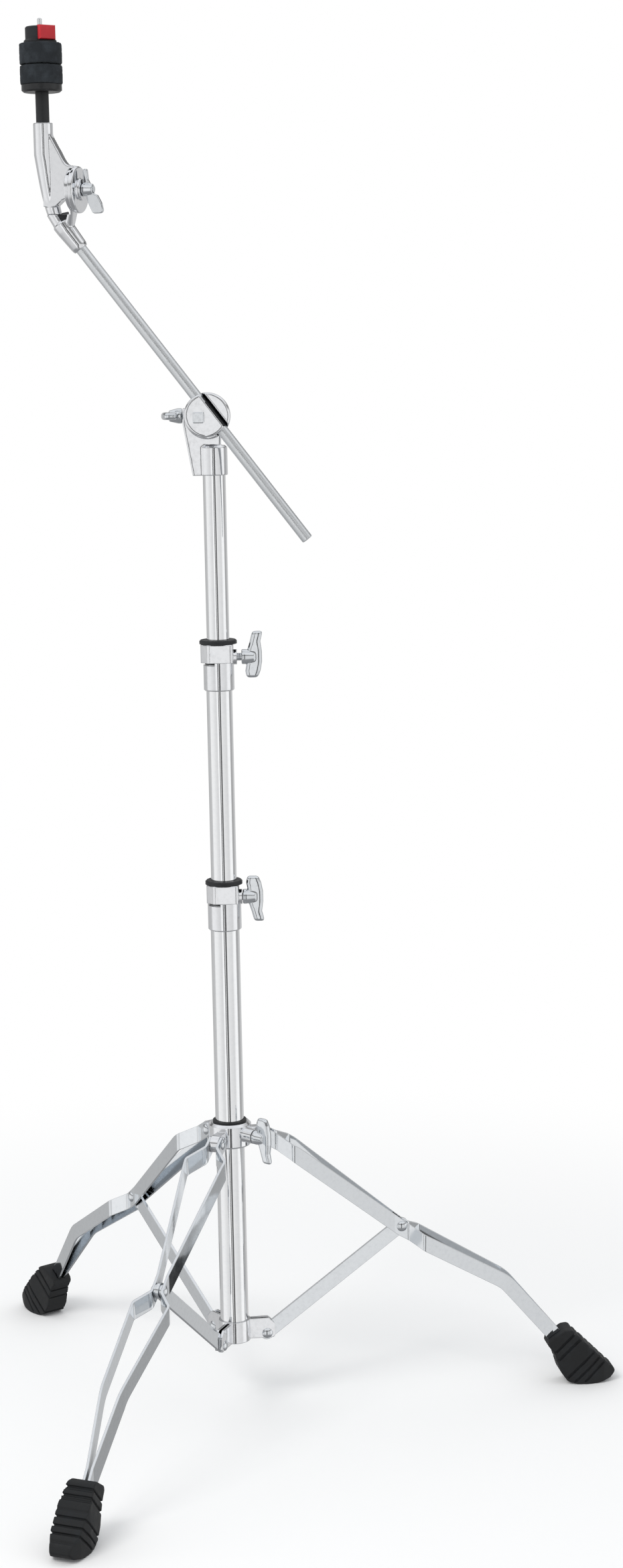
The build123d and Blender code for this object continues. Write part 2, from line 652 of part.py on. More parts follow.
def swan_neck():
    """The upper casting: neck, curved arm, web and outer brake plate in one piece."""
    y = -boom_offset
    top = (neck_x, y, hinge_z + neck_height)
    shoulder = (neck_x, y, hinge_z + 33)
    path = Spline(shoulder, (neck_x + 2.4, y, hinge_z + 13), (neck_x + 5.0, y, hinge_z - 6),
                  (neck_x + 11.0, y, hinge_z - 30), tangents=[(0, 0, -1), (0.35, 0, -1)])
    arm = rod_between(top, shoulder, neck_radius)
    sections = [path.location_at(share) * Circle(radius) for share, radius in (
        (0.0, neck_radius), (0.35, neck_radius * 0.92), (0.7, neck_radius * 0.8), (1.0, arm_end_radius))]
    arm += loft(sections)
    arm -= below_hinge(cut_radius, 90)
    plate = drum(drum_radius, outer_plate_start, plate_thickness)
    rims = plate.edges().filter_by(GeomType.CIRCLE).sort_by(Axis(tuple(hinge_foot), tuple(hinge_axis)))
    plate = chamfer(rims[-1], 1.0)
    boss = drum(10.0, outer_plate_start + plate_thickness, 2.5)
    outer = outer_plate_start + plate_thickness
    web_face = make_face([
        Polyline((0, 47), (0, -15), (12, -15), (19, -9), (outer, -4), (outer, drum_radius - 4)),
        Spline((outer, drum_radius - 4), (outer - 3, drum_radius), (outer - 9, drum_radius + 0.8),
               (21.5, 27), (15.0, 38), (8.5, 51), tangents=[(-0.1, 1), (-0.3, 1)]),
        Polyline((8.5, 51), (0, 51), (0, 47))])
    web_plane = Plane(origin=tuple(hinge_foot), x_dir=tuple(hinge_axis), z_dir=tuple(-hinge_side))
    web = extrude(web_plane * web_face, web_thickness / 2, both=True)
    web -= drum(inner_plate_radius + 0.5, inner_plate_start - face_gap, plate_thickness + 2 * face_gap)
    web -= drum(bolt_head_radius + 0.6, inner_plate_start - bolt_head_height - 0.8, bolt_head_height + 1.0)
    body = arm + web + plate + boss
    body -= drum(tilter_bolt_radius + running_fit, outer_plate_start - 1.0, 40)
    bore_bottom = (neck_x, y, hinge_z + neck_height - 26)
    bore_top = (neck_x, y, hinge_z + neck_height + 1)
    return body - rod_between(bore_bottom, bore_top, rod_radius)


def tilter_socket():
    """The lower casting: a tapered socket on the boom rod with an elbow and the inner brake plate."""
    plane = Plane(origin=tuple(socket_mouth), x_dir=(0, 1, 0), z_dir=tuple(boom_up))
    socket = plane * turned([
        (0, 0), (socket_neck_radius, 0), (socket_neck_radius + 0.8, 3), (socket_radius, socket_length - 8),
        (socket_radius, socket_length - 1), (socket_radius - 1, socket_length), (0, socket_length)])
    start = socket_mouth + boom_up * (socket_length - 9) - rod_side * 1.8
    end = Vector(neck_x + 2.8, -boom_offset, hinge_z - 12)
    lean = end - start
    elbow = loft([
        Plane(origin=tuple(start), x_dir=(0, 1, 0), z_dir=tuple(boom_up)) * Circle(elbow_radius),
        Plane(origin=tuple(end), x_dir=(0, 1, 0), z_dir=tuple(lean)) * Circle(elbow_radius - 0.4)])
    elbow -= drum(cut_radius + face_gap, -40, inner_plate_start + 40)
    plate = drum(inner_plate_radius, inner_plate_start, plate_thickness)
    ear_top = hinge_foot + hinge_axis * (inner_plate_start + 2.3) + Vector(0, 0, -15)
    ear_low = socket_mouth + boom_up * (socket_length - 9) + rod_side * 2.0
    ear = loft([
        Plane(origin=tuple(ear_low), x_dir=(0, 1, 0), z_dir=(0.35, -0.2, 1)) * RectangleRounded(12, 10, 4),
        Plane(origin=tuple(ear_top), x_dir=tuple(hinge_side), z_dir=(0.3, -0.1, 1)) * RectangleRounded(16, 4.2, 2.0)])
    ear -= drum(cut_radius + face_gap, -40, inner_plate_start + 40)
    ear -= drum(60, outer_plate_start - face_gap, 60)
    body = socket + elbow + plate + ear
    body -= rod_between(tuple(socket_mouth), tuple(boom_high_end + boom_up * 0.3), boom_od / 2)
    body -= plug_block()
    return body - drum(tilter_bolt_radius, 10, 40)


def plug_block():
    block = Box(plug_width, plug_depth, plug_height)
    block = fillet(block.edges().filter_by(Axis.Z), 2.0)
    return Pos(neck_x + plug_offset, -boom_offset, hinge_z - plug_drop) * block


def tilter_plug():
    """The black stop block set in the top of the socket, cut clear of the turning arm."""
    return plug_block() - drum(cut_radius + face_gap + 0.2, -40, inner_plate_start + 40)


def tilter_bolt():
    """The brake bolt: a low head against the inner plate and a thread out to the wing nut."""
    head = chamfer(drum(bolt_head_radius, inner_plate_start - bolt_head_height, bolt_head_height).edges(), 0.8)
    return head + drum(tilter_bolt_radius, inner_plate_start, plate_thickness * 2 + 13.8)


def tilter_wing_nut():
    seat = hinge_foot + hinge_axis * (outer_plate_start + plate_thickness + 2.5 + seat_gap)
    nut = wing_nut(tilter_bolt_radius + running_fit)
    plane = Plane(origin=tuple(seat), x_dir=tuple(hinge_axis), z_dir=(0, 0, 1))
    return plane * nut


# ---------------------------------------------------------------- cymbal seat
neck_top = hinge_z + neck_height
sleeve_top = neck_top + sleeve_length
felt_bottom = sleeve_top
seat_top = felt_bottom + seat_height
lower_felt_top = seat_top + lower_felt_height
upper_felt_bottom = lower_felt_top + seat_gap
upper_felt_top = upper_felt_bottom + upper_felt_height
mate_bottom = upper_felt_top + seat_gap
mate_top = mate_bottom + mate_height
rod_top = mate_top + rod_tip_length


def at_neck(shape, azimuth=0.0):
    return Pos(neck_x, -boom_offset, 0) * Rot(0, 0, azimuth) * shape


def cymbal_rod():
    """The threaded rod: thick up to the mate, with a thin locating tip above it."""
    return at_neck(turned([
        (0, neck_top - 26), (rod_radius, neck_top - 26), (rod_radius, mate_top - 3.0),
        (rod_tip_radius, mate_top - 2.0), (rod_tip_radius, rod_top - 1.0), (rod_tip_radius - 1.0, rod_top),
        (0, rod_top)]))


def cymbal_sleeve():
    """The black tube between the neck and the cymbal seat, reduced where the cymbal hangs on it."""
    narrow = hang_radius
    return at_neck(turned([
        (rod_radius, neck_top), (sleeve_radius, neck_top), (sleeve_radius, sleeve_top),
        (narrow, sleeve_top), (narrow, lower_felt_top - 2.0), (rod_radius, lower_felt_top - 2.0)]))


def seat_cup():
    """The dished washer under the lower felt."""
    hole = hang_radius
    return at_neck(turned([
        (hole, felt_bottom), (seat_radius - 2.0, felt_bottom), (seat_radius, felt_bottom + 1.6),
        (seat_radius, seat_top), (hole, seat_top)]))


def felt(bottom, height, hole):
    body = ring(felt_radius, hole + felt_hole_clearance, height, bottom)
    outer = body.edges().filter_by(GeomType.CIRCLE).group_by(SortBy.RADIUS)[-1]
    return at_neck(fillet(outer, 1.5))


def mate_body():
    """The quick-release cap: a round housing with a window for the button, hollow over the rod."""
    body = turned([(0, mate_bottom), (mate_flange_radius, mate_bottom), (mate_flange_radius, mate_bottom + 1.6),
                   (mate_radius, mate_bottom + 3.0), (mate_radius, mate_top - 1.0), (mate_radius - 1.0, mate_top),
                   (0, mate_top)])
    flat = Pos(mate_radius, 0, (mate_bottom + mate_top) / 2) * Box(5.0, 60, mate_height + 2)
    body -= flat
    body -= Pos(0, 0, (mate_bottom + mate_top) / 2) * Cylinder(rod_radius + 0.15, mate_height + 2)
    window = button_block(0.15, 40.0)
    return at_neck(body - window, button_azimuth)


def button_block(gap, length):
    """The button's cross-section along +X, seen as the window it slides in."""
    middle = mate_top - button_height / 2 + 0.4
    width = button_width + 2 * gap
    height = button_height + 2 * gap
    return Pos(rod_radius + 2.4 + length / 2, 0, middle) * Box(length, width, height)


def mate_button():
    """The red push button."""
    face_x = mate_radius + 1.2
    inner_x = rod_radius + 2.4 + button_travel + 0.6
    middle = mate_top - button_height / 2 + 0.4
    body = Pos((inner_x + face_x) / 2, 0, middle) * Box(face_x - inner_x, button_width, button_height)
    edges = body.faces().sort_by(Axis.X)[-1].edges()
    return at_neck(fillet(edges, 1.2), button_azimuth)


# ---------------------------------------------------------------- write the parts
os.makedirs("parts", exist_ok=True)

save("base_tube", tube(base_od, base_bottom_z, base_top_z))
save("middle_tube", tube(middle_od, middle_bottom_z, middle_top_z))
save("upper_tube", tube(upper_od, upper_bottom_z, upper_top_z))
save("middle_tube_guide", Pos(0, 0, middle_bottom_z - guide_flange - face_gap) * tube_guide(base_od, middle_od))
save("upper_tube_guide", Pos(0, 0, upper_bottom_z - guide_flange - face_gap) * tube_guide(middle_od, upper_od))
for name, height, lower_tube, upper_tube, stand_off, turn in (
        ("lower", first_joint_z, base_od, middle_od, 0.6, 0),
        ("upper", second_joint_z, middle_od, upper_od, 4.6, 180)):
    save(name + "_joint", Pos(0, 0, height) * tube_joint(lower_tube, upper_tube))
    save(name + "_joint_bush", Pos(0, 0, height) * joint_bush(lower_tube, upper_tube))
    save(name + "_joint_t_bolt", Pos(0, 0, height) * joint_bolt(upper_tube, stand_off, turn))

for name, azimuth in leg_azimuths.items():
    left_bar = across(leg_bar(1), azimuth)
    right_bar = across(leg_bar(-1), azimuth)
    save(name + "_leg_left_bar", left_bar)
    save(name + "_leg_right_bar", right_bar)
    save(name + "_foot", across(foot(), azimuth) - left_bar - right_bar)
    save(name + "_brace", across(brace_bar(), azimuth))
    grip = 2 * (pinch_half + bar_thickness / 2)
    save(name + "_leg_rivet", across(Pos(brace_pin[0], 0, brace_pin[1]) * rivet(grip), azimuth))
    save(name + "_leg_spacers", across(brace_spacers(), azimuth))

upper_grip = 2 * (bar_half + bar_thickness / 2 + face_gap)
lower_grip = 2 * (brace_thickness / 2 + face_gap + lower_ear_thickness)
upper_pins = [across(Pos(pivot_radius, 0, upper_pivot_z) * rivet(upper_grip), a) for a in leg_azimuths.values()]
lower_pins = [across(Pos(pivot_radius, 0, lower_pivot_z) * rivet(lower_grip), a) for a in leg_azimuths.values()]
save("leg_collar", leg_collar())
save("leg_collar_bush", leg_collar_bush())
save("leg_collar_t_bolt", leg_collar_bolt())
save("leg_collar_rivets", group(upper_pins))
save("lower_collar", lower_collar())
save("lower_collar_rivets", group(lower_pins))

save("boom_holder", boom_holder())
save("tilt_disc", tilt_disc())
save("tilt_jaw", tilt_jaw())
save("tilt_jaw_bolt", tilt_jaw_bolt())
save("tilt_pivot_nut", tilt_pivot_nut())
save("boom_liner", boom_liner())
save("boom_t_bolt", boom_bolt())
save("boom_rod", boom_rod())

save("tilter_socket", tilter_socket())
save("tilter_plug", tilter_plug())
save("tilter_neck", swan_neck())
save("tilter_bolt", tilter_bolt())
save("tilter_wing_nut", tilter_wing_nut())

save("cymbal_rod", cymbal_rod())
save("cymbal_sleeve", cymbal_sleeve())
save("seat_cup", seat_cup())
save("lower_felt", felt(seat_top, lower_felt_height, hang_radius))
save("upper_felt", felt(upper_felt_bottom, upper_felt_height, rod_radius))
save("mate_body", mate_body())
save("mate_button", mate_button())
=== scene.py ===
import json
from contextlib import contextmanager
from math import atan2, cos, pi, radians, sin

import bmesh
import bpy
from mathutils import Matrix, Vector

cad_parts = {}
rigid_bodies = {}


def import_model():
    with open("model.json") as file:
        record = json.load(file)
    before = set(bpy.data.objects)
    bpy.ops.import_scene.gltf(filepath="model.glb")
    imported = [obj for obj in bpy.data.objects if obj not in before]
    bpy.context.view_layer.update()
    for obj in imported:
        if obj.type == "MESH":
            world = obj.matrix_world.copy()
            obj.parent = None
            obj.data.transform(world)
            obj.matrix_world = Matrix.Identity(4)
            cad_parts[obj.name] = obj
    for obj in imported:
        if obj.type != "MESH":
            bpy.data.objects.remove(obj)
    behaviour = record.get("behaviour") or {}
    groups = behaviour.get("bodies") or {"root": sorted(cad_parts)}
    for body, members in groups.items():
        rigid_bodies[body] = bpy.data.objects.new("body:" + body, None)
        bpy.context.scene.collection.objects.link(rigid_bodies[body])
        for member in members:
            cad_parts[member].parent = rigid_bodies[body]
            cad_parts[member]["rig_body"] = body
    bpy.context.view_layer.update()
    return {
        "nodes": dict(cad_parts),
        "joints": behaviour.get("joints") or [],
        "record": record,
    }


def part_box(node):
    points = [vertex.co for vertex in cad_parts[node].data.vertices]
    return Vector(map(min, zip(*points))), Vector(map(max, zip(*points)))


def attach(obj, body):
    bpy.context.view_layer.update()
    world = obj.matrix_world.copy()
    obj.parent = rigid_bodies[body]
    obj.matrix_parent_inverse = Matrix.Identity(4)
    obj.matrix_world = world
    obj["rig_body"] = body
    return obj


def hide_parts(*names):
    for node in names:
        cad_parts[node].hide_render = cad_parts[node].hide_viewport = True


# The looks of a cymbal boom stand: its chrome, steel, rubber and felt, the pieces that need softer or finer
# forms than their solids have, and the studio. Lengths are in metres, and the origin is under the post.

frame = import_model()

nodes = frame["nodes"]
joints = {joint["name"]: joint for joint in frame["joints"]}
mounts = {mount["name"]: mount for mount in frame["record"]["mounts"]}
MM = 0.001
UP = Vector((0, 0, 1))
BACK = Vector((0, 1, 0))


def joint_line(name):
    """A joint's point and the direction of its axis."""
    return Vector(joints[name]["pos_m"]), Vector(joints[name]["axis"])


boom_crossing, boom_down = joint_line("boom_turn")
boom_up = -boom_down
boom_side = Vector((boom_up.z, 0, -boom_up.x))


# ---------------------------------------------------------------- camera
def place_camera():
    """The camera stands in front of the stand, a little above its middle, looking slightly down."""
    place = Vector((0.0898, -2.6188, 1.0555))
    yaw, pitch, roll = radians(0.021), radians(8.976), radians(-1.083)
    level = Vector((cos(yaw), sin(yaw), 0.0))
    ahead = Vector((-sin(yaw) * cos(pitch), cos(yaw) * cos(pitch), -sin(pitch)))
    upward = Vector((-sin(yaw) * sin(pitch), cos(yaw) * sin(pitch), cos(pitch)))
    right = level * cos(roll) + upward * sin(roll)
    top = upward * cos(roll) - level * sin(roll)
    lens = bpy.data.cameras.new("camera")
    lens.lens = 61.6
    lens.sensor_width = 36.0
    lens.sensor_fit = "AUTO"
    lens.clip_start = 0.05
    lens.clip_end = 60.0
    camera = bpy.data.objects.new("camera", lens)
    bpy.context.scene.collection.objects.link(camera)
    turn = Matrix((right, top, -ahead)).transposed()
    camera.matrix_world = Matrix.Translation(place) @ turn.to_4x4()
    bpy.context.scene.camera = camera


# ---------------------------------------------------------------- node helpers
def fresh_tree(owner):
    """Empties the node tree of a material or world."""
    owner.use_nodes = True
    owner.node_tree.nodes.clear()
    return owner.node_tree


def add(tree, kind, **settings):
    node = tree.nodes.new(kind)
    for key, value in settings.items():
        setattr(node, key, value)
    return node


def feed(tree, socket, source):
    """Links a socket, or sets it where the source is a plain value."""
    if isinstance(source, bpy.types.NodeSocket):
        tree.links.new(source, socket)
    else:
        socket.default_value = source


def math_node(tree, operation, a, b=None, c=None):
    node = add(tree, "ShaderNodeMath", operation=operation)
    for socket, source in zip(node.inputs, (a, b, c)):
        if source is not None:
            feed(tree, socket, source)
    return node.outputs[0]


def vector_node(tree, operation, a, b=None):
    node = add(tree, "ShaderNodeVectorMath", operation=operation)
    feed(tree, node.inputs[0], a)
    if b is not None:
        feed(tree, node.inputs[1], b)
    return node.outputs["Value" if operation in ("DOT_PRODUCT", "LENGTH") else "Vector"]


def span(tree, value, low, high, to_low=0.0, to_high=1.0, smooth=True):
    """Carries a value from one range to another and stops it at both ends."""
    node = add(tree, "ShaderNodeMapRange")
    node.interpolation_type = "SMOOTHSTEP" if smooth else "LINEAR"
    for name, source in (("Value", value), ("From Min", low), ("From Max", high),
                         ("To Min", to_low), ("To Max", to_high)):
        feed(tree, node.inputs[name], source)
    return node.outputs[0]


def mix_colour(tree, factor, first, second, blend="MIX"):
    """Mixes two colours by a factor."""
    node = add(tree, "ShaderNodeMix", data_type="RGBA", blend_type=blend)
    feed(tree, node.inputs[0], factor)
    feed(tree, node.inputs[6], first)
    feed(tree, node.inputs[7], second)
    return node.outputs[2]


def mix_shader(tree, factor, first, second):
    node = add(tree, "ShaderNodeMixShader")
    feed(tree, node.inputs["Fac"], factor)
    feed(tree, node.inputs[1], first)
    feed(tree, node.inputs[2], second)
    return node.outputs[0]


def background(tree, colour, strength=1.0):
    node = add(tree, "ShaderNodeBackground")
    feed(tree, node.inputs["Color"], colour)
    node.inputs["Strength"].default_value = strength
    return node.outputs[0]


def noise(tree, where, scale, detail, roughness=0.5):
    node = add(tree, "ShaderNodeTexNoise")
    for name, source in (("Vector", where), ("Scale", scale), ("Detail", detail), ("Roughness", roughness)):
        feed(tree, node.inputs[name], source)
    return node.outputs["Fac"]


def soft_edges(tree, radius, samples):
    """A normal that rounds the edges of a piece."""
    node = add(tree, "ShaderNodeBevel", samples=samples)
    feed(tree, node.inputs["Radius"], radius)
    return node.outputs["Normal"]


def relief(tree, height, depth, normal=None):
    """A normal that shows a height map, depth metres deep, over another normal."""
    node = add(tree, "ShaderNodeBump")
    feed(tree, node.inputs["Height"], height)
    feed(tree, node.inputs["Distance"], depth)
    if normal is not None:
        feed(tree, node.inputs["Normal"], normal)
    return node.outputs["Normal"]


def on_the_stand(tree):
    """Where a point is, in the stand's own frame."""
    return add(tree, "ShaderNodeTexCoord").outputs["Object"]


def srgb(red, green, blue):
    """A colour written in 0-255 display values, as the renderer's linear ones."""
    def linear(value):
        value /= 255.0
        return value / 12.92 if value <= 0.04045 else ((value + 0.055) / 1.055) ** 2.4
    return (linear(red), linear(green), linear(blue), 1.0)


# ---------------------------------------------------------------- shared effects
def start_effect(name, inputs):
    """A node group with named values and colours. It gives a colour, a roughness and a normal."""
    group = bpy.data.node_groups.new(name, "ShaderNodeTree")
    for label, value in inputs.items():
        kind = "NodeSocketFloat" if isinstance(value, float) else "NodeSocketColor"
        group.interface.new_socket(label, in_out="INPUT", socket_type=kind).default_value = value
    for label, kind in (("Color", "NodeSocketColor"), ("Roughness", "NodeSocketFloat"),
                        ("Normal", "NodeSocketVector")):
        group.interface.new_socket(label, in_out="OUTPUT", socket_type=kind)
    return group, group.nodes.new("NodeGroupInput").outputs


def end_effect(group, colour, roughness, normal):
    leave = group.nodes.new("NodeGroupOutput")
    feed(group, leave.inputs["Color"], colour)
    feed(group, leave.inputs["Roughness"], roughness)
    feed(group, leave.inputs["Normal"], normal)
    return group


def make_plating():
    """Chrome plate: slow waves of the polish, a faint haze, rounded edges and painted shade that darkens its
    recesses.
    """
    group, own = start_effect("plating", {
        "Edge Radius": 0.0004, "Wave Scale": 90.0, "Wave Height": 0.00002, "Haze Scale": 260.0,
        "Clear Roughness": 0.06, "Hazy Roughness": 0.13,
        "Bright": (0.79, 0.815, 0.84, 1.0), "Dull": (0.74, 0.765, 0.79, 1.0)})
    where = on_the_stand(group)
    waves = noise(group, where, own["Wave Scale"], detail=1.0)
    normal = relief(group, waves, own["Wave Height"], soft_edges(group, own["Edge Radius"], samples=6))
    haze = span(group, noise(group, where, own["Haze Scale"], detail=4.0, roughness=0.6), 0.35, 0.85)
    roughness = span(group, haze, 0.0, 1.0, own["Clear Roughness"], own["Hazy Roughness"], smooth=False)
    plate = mix_colour(group, haze, own["Bright"], own["Dull"])
    # Painted shade: ambient occlusion darkens the plate's colour towards a near-black grey in recesses and
    # between parts.
    painted_shade_occlusion = add(group, "ShaderNodeAmbientOcclusion", samples=12)
    painted_shade_occlusion.inputs["Distance"].default_value = 14.0 * MM
    unshaded_share = span(group, painted_shade_occlusion.outputs["AO"], 0.05, 0.55, 0.20, 1.0)
    painted_recess_shade = (0.05, 0.055, 0.06, 1.0)
    return end_effect(group, mix_colour(group, unshaded_share, painted_recess_shade, plate), roughness, normal)


def make_moulding():
    """Moulded plastic, rubber, felt or paint: a fine grain, dusty patches and rounded edges."""
    group, own = start_effect("moulding", {
        "Edge Radius": 0.0005, "Grain Scale": 1400.0, "Grain Height": 0.00003,
        "Low Roughness": 0.35, "High Roughness": 0.55,
        "Base": (0.02, 0.02, 0.02, 1.0), "Dusty": (0.04, 0.04, 0.04, 1.0)})
    where = on_the_stand(group)
    grain = noise(group, where, own["Grain Scale"], detail=3.0)
    normal = relief(group, grain, own["Grain Height"], soft_edges(group, own["Edge Radius"], samples=4))
    patches = noise(group, where, 70.0, detail=4.0, roughness=0.6)
    roughness = span(group, patches, 0.3, 0.7, own["Low Roughness"], own["High Roughness"], smooth=False)
    colour = mix_colour(group, span(group, patches, 0.4, 0.75), own["Base"], own["Dusty"])
    return end_effect(group, colour, roughness, normal)


def make_knurling():
    """Diamond knurling rolled into the boom rod: two sets of ridges that wind against each other."""
    group, own = start_effect("knurling", {"Ridges": 32.0, "Pitch": 0.0016, "Depth": 0.00003})
    where = on_the_stand(group)
    from_crossing = vector_node(group, "SUBTRACT", where, boom_crossing)
    along, across, behind = [vector_node(group, "DOT_PRODUCT", from_crossing, axis)
                             for axis in (boom_up, boom_side, BACK)]
    around = math_node(group, "MULTIPLY", math_node(group, "ARCTAN2", across, behind), own["Ridges"])
    pitches = math_node(group, "DIVIDE", along, own["Pitch"])
    lengthwise = math_node(group, "MULTIPLY", pitches, 2 * pi)
    left = math_node(group, "SINE", math_node(group, "ADD", around, lengthwise))
    right = math_node(group, "SINE", math_node(group, "SUBTRACT", around, lengthwise))
    tops = math_node(group, "MULTIPLY_ADD", math_node(group, "ADD", left, right), 0.25, 0.5)
    # Painted shade: the colour follows the ridge height, darker in the knurl's valleys, with a lighter grey
    # on the ridge tops.
    valley_shade_grey, ridge_top_grey = (0.76, 0.79, 0.81, 1.0), (0.88, 0.90, 0.92, 1.0)
    colour = mix_colour(group, span(group, tops, 0.15, 0.6), valley_shade_grey, ridge_top_grey)
    wear = noise(group, where, 90.0, detail=3.0, roughness=0.6)
    roughness = span(group, wear, 0.3, 0.7, 0.26, 0.36)
    return end_effect(group, colour, roughness, relief(group, tops, own["Depth"]))


# ---------------------------------------------------------------- finishes
def finish_with(effect, name, values, metallic):
    """A Principled shader that takes its colour, roughness and normal from an effect."""
    material = bpy.data.materials.new(name)
    tree = fresh_tree(material)
    out = add(tree, "ShaderNodeOutputMaterial")
    shader = add(tree, "ShaderNodeBsdfPrincipled")
    feed(tree, out.inputs["Surface"], shader.outputs[0])
    node = add(tree, "ShaderNodeGroup", node_tree=effect)
    for label, value in values.items():
        node.inputs[label].default_value = value
    feed(tree, shader.inputs["Base Color"], node.outputs["Color"])
    feed(tree, shader.inputs["Roughness"], node.outputs["Roughness"])
    feed(tree, shader.inputs["Normal"], node.outputs["Normal"])
    shader.inputs["Metallic"].default_value = metallic
    return material


METALS = {
    "chrome tube": {
        "Edge Radius": 0.0005, "Wave Scale": 25.0, "Wave Height": 0.00001,
        "Clear Roughness": 0.035, "Hazy Roughness": 0.055,
        "Bright": (0.93, 0.94, 0.95, 1.0), "Dull": (0.88, 0.89, 0.91, 1.0)},
    "chrome casting": {
        "Edge Radius": 0.0011, "Wave Scale": 120.0, "Wave Height": 0.00005,
        "Clear Roughness": 0.05, "Hazy Roughness": 0.085,
        "Bright": (0.88, 0.89, 0.91, 1.0), "Dull": (0.82, 0.83, 0.85, 1.0)},
    "chrome bar": {
        "Edge Radius": 0.0006, "Wave Scale": 60.0, "Wave Height": 0.00004,
        "Clear Roughness": 0.06, "Hazy Roughness": 0.10},
    "chrome fitting": {
        "Edge Radius": 0.0008, "Wave Scale": 140.0, "Wave Height": 0.00004,
        "Clear Roughness": 0.06, "Hazy Roughness": 0.10},
    "satin steel": {
        "Edge Radius": 0.0003, "Wave Scale": 300.0, "Wave Height": 0.00002,
        "Clear Roughness": 0.24, "Hazy Roughness": 0.34,
        "Bright": (0.80, 0.81, 0.82, 1.0), "Dull": (0.70, 0.71, 0.72, 1.0)}}

MOULDINGS = {
    "black nylon": {"Base": srgb(18, 20, 23), "Dusty": srgb(30, 32, 35)},
    "black rubber": {
        "Base": srgb(15, 17, 19), "Dusty": srgb(28, 31, 34), "Low Roughness": 0.5, "High Roughness": 0.75},
    "black felt": {
        "Base": srgb(30, 34, 38), "Dusty": srgb(50, 55, 60), "Low Roughness": 0.9, "High Roughness": 1.0},
    "black plastic": {"Base": srgb(16, 18, 22), "Dusty": srgb(28, 30, 34)},
    "black paint": {
        "Base": srgb(22, 23, 25), "Dusty": srgb(34, 36, 38), "Low Roughness": 0.28, "High Roughness": 0.42,
        "Grain Scale": 500.0, "Grain Height": 0.00002},
    "red plastic": {
        "Base": srgb(176, 24, 36), "Dusty": srgb(190, 40, 50), "Low Roughness": 0.3, "High Roughness": 0.45}}

FINISH_OF_SLOT = {
    "chrome_tube": "chrome tube", "chrome_cast": "chrome casting", "chrome_bar": "chrome bar",
    "chrome_small": "chrome fitting", "rod_steel": "satin steel", "black_nylon": "black nylon",
    "black_rubber": "black rubber", "black_felt": "black felt", "black_plastic": "black plastic",
    "red_plastic": "red plastic", "seat_steel": "black paint"}


def make_finishes():
    """Every finish of the stand, by its name."""
    plating, moulding = make_plating(), make_moulding()
    finish = {name: finish_with(plating, name, values, metallic=1.0) for name, values in METALS.items()}
    for name, values in MOULDINGS.items():
        finish[name] = finish_with(moulding, name, values, metallic=0.0)
    finish["knurled steel"] = finish_with(make_knurling(), "knurled steel", {}, metallic=1.0)
    return finish


def finish_solids():
    """Gives each CAD piece the finish of its slot. The boom rod alone is knurled."""
    for name, node in nodes.items():
        for place in node.material_slots:
            slot_name = place.material.name.split(".")[0]
            place.material = finishes["knurled steel" if name == "boom_rod" else FINISH_OF_SLOT[slot_name]]


# ---------------------------------------------------------------- studio
# What metal sees round the horizon: the azimuth in degrees, with 0 towards the camera and 90 to the east,
# and the brightness there. Two dark cards stand at the front, with a narrow white gap between them.
HORIZON = [
    (-180, 0.56), (-150, 0.50), (-112, 0.54), (-99, 0.60), (-92, 0.92), (-67, 0.90), (-40, 0.76),
    (-26, 0.72), (-22, 0.98), (-10.4, 1.0), (-8.8, 0.10), (-3.9, 0.10), (-3.4, 0.9), (0.4, 0.9),
    (1.0, 0.10), (12.0, 0.12), (13.4, 0.88), (25, 0.80), (58, 0.72), (71, 0.97), (95, 1.0),
    (99, 0.40), (124, 0.42), (131, 0.60), (180, 0.56)]

# What it sees from straight down, -1, to straight up, 1, as a share of that brightness.
TIERS = [
    (-1.0, 0.30), (-0.72, 0.34), (-0.52, 0.80), (-0.36, 1.0), (0.22, 1.0), (0.34, 0.36),
    (0.44, 0.30), (0.52, 0.95), (0.80, 1.0), (1.0, 0.85)]


def grey_ramp(tree, value, low, high, stops):
    """Grey levels at given places, spread over a value that runs from low to high."""
    node = add(tree, "ShaderNodeValToRGB")
    feed(tree, node.inputs[0], span(tree, value, low, high, smooth=False))
    first_place, first_level = stops[0]
    last_place = stops[-1][0]
    elements = node.color_ramp.elements
    elements.remove(elements[1])
    elements[0].position = 0.0
    elements[0].color = (first_level, first_level, first_level, 1.0)
    for place, level in stops[1:]:
        element = elements.new((place - first_place) / (last_place - first_place))
        element.color = (level, level, level, 1.0)
    return node.outputs["Color"]


def make_world():
    """White to the camera. Metal sees upright dark and bright cards, and the rest gets soft light."""
    world = bpy.data.worlds.new("studio")
    bpy.context.scene.world = world
    tree = fresh_tree(world)
    axes = add(tree, "ShaderNodeSeparateXYZ")
    feed(tree, axes.inputs[0], add(tree, "ShaderNodeTexCoord").outputs["Generated"])
    east, north, height = axes.outputs
    azimuth = math_node(tree, "ARCTAN2", east, math_node(tree, "MULTIPLY", north, -1.0))
    cards = grey_ramp(tree, azimuth, -pi, pi, HORIZON)
    tiers = grey_ramp(tree, height, -1.0, 1.0, TIERS)
    steepness = span(tree, math_node(tree, "ABSOLUTE", height), 0.45, 0.85)
    overhead = (0.9, 0.91, 0.93, 1.0)
    seen = mix_colour(tree, 1.0, mix_colour(tree, steepness, cards, overhead), tiers, "MULTIPLY")
    soft_light = background(tree, (0.97, 0.985, 1.0, 1.0), strength=0.80)
    white = background(tree, (1.0, 1.0, 1.0, 1.0))
    path = add(tree, "ShaderNodeLightPath").outputs
    lit = mix_shader(tree, path["Is Glossy Ray"], soft_light, background(tree, seen))
    out = add(tree, "ShaderNodeOutputWorld")
    feed(tree, out.inputs["Surface"], mix_shader(tree, path["Is Camera Ray"], lit, white))


